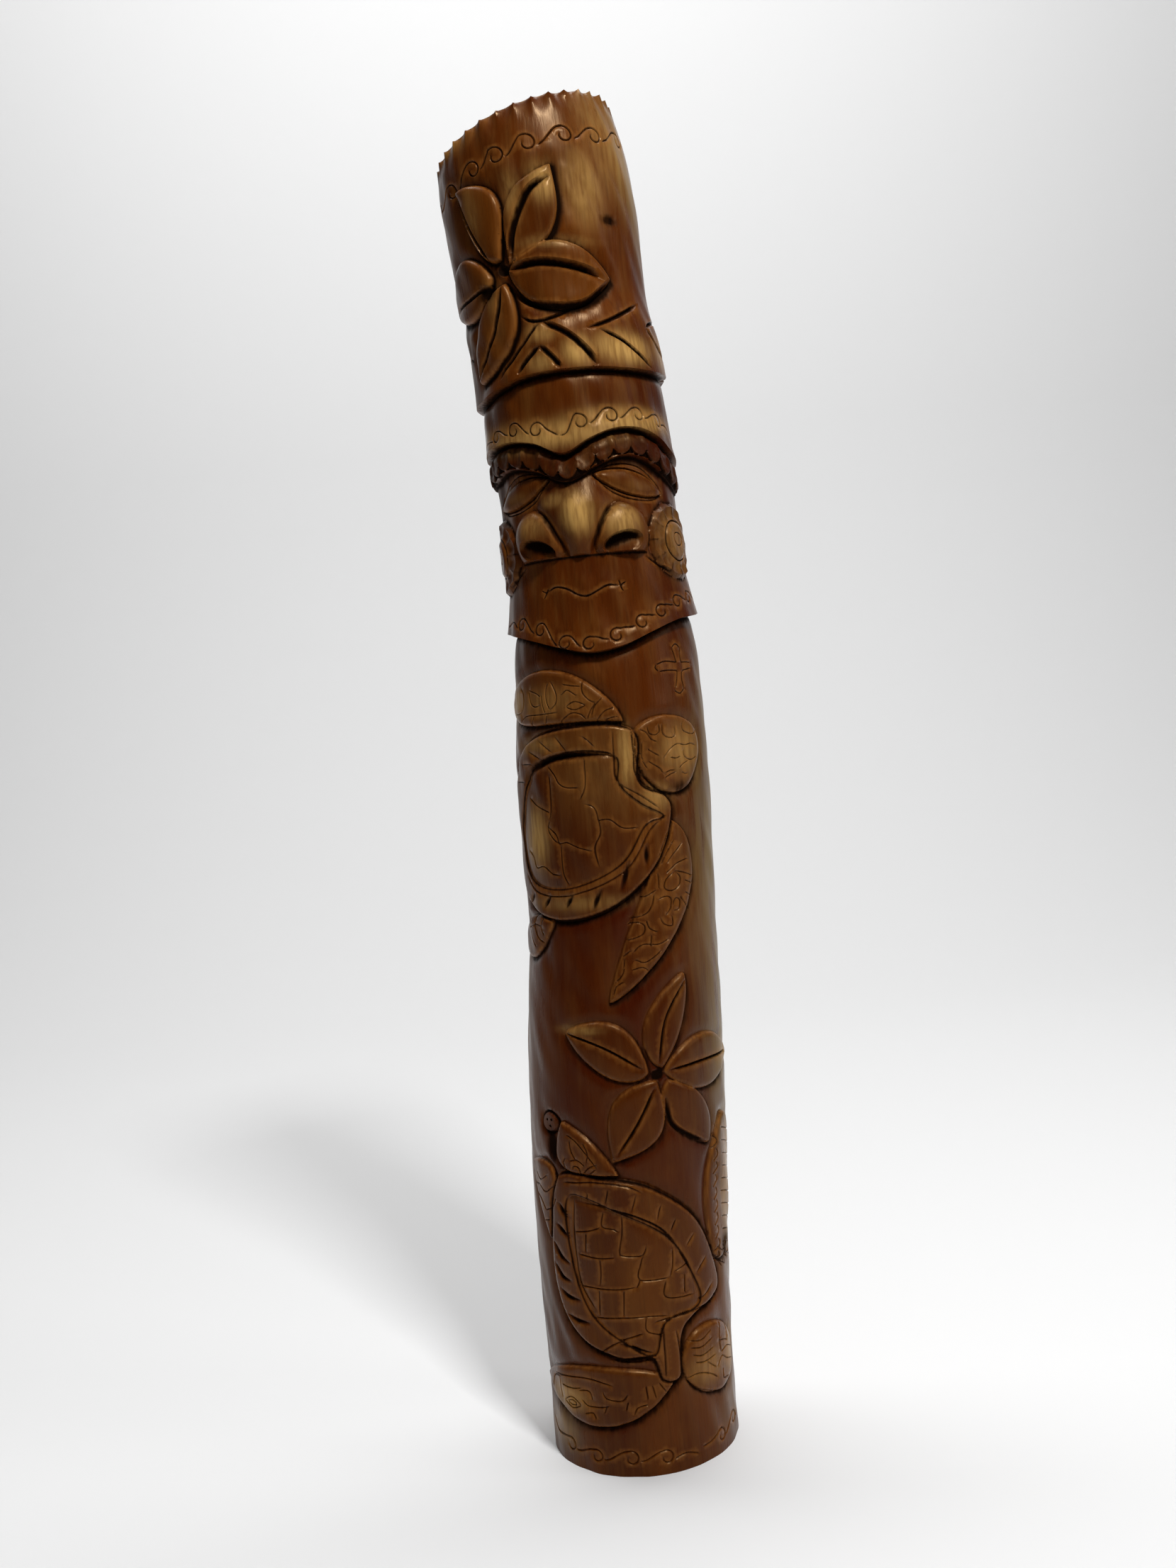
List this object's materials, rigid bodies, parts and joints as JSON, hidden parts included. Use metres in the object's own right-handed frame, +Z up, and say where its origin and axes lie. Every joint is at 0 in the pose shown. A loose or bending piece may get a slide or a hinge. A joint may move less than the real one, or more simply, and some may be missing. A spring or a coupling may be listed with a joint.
{
  "type": "carved wooden totem log",
  "caption": "Slightly bowed wooden log carved in relief as a standing totem, with flowers, a belt of triangles, a broad-nosed mask and sea turtles under a slanted, gouged rim.",
  "frame": {"origin": "The middle of the flat underside, on the ground.", "axes": "+Z runs up the log, the carved front faces -Y, and +X is to the right of someone facing the carving."},
  "size_m": [0.1524, 0.1392, 0.9214],
  "materials": {
    "stained_wood": "red-brown stain rubbed back to gold on the raised carving, satin varnish"
  },
  "bodies": {
    "root": {"carved_log": "stained_wood"}
  },
  "joints": []
}
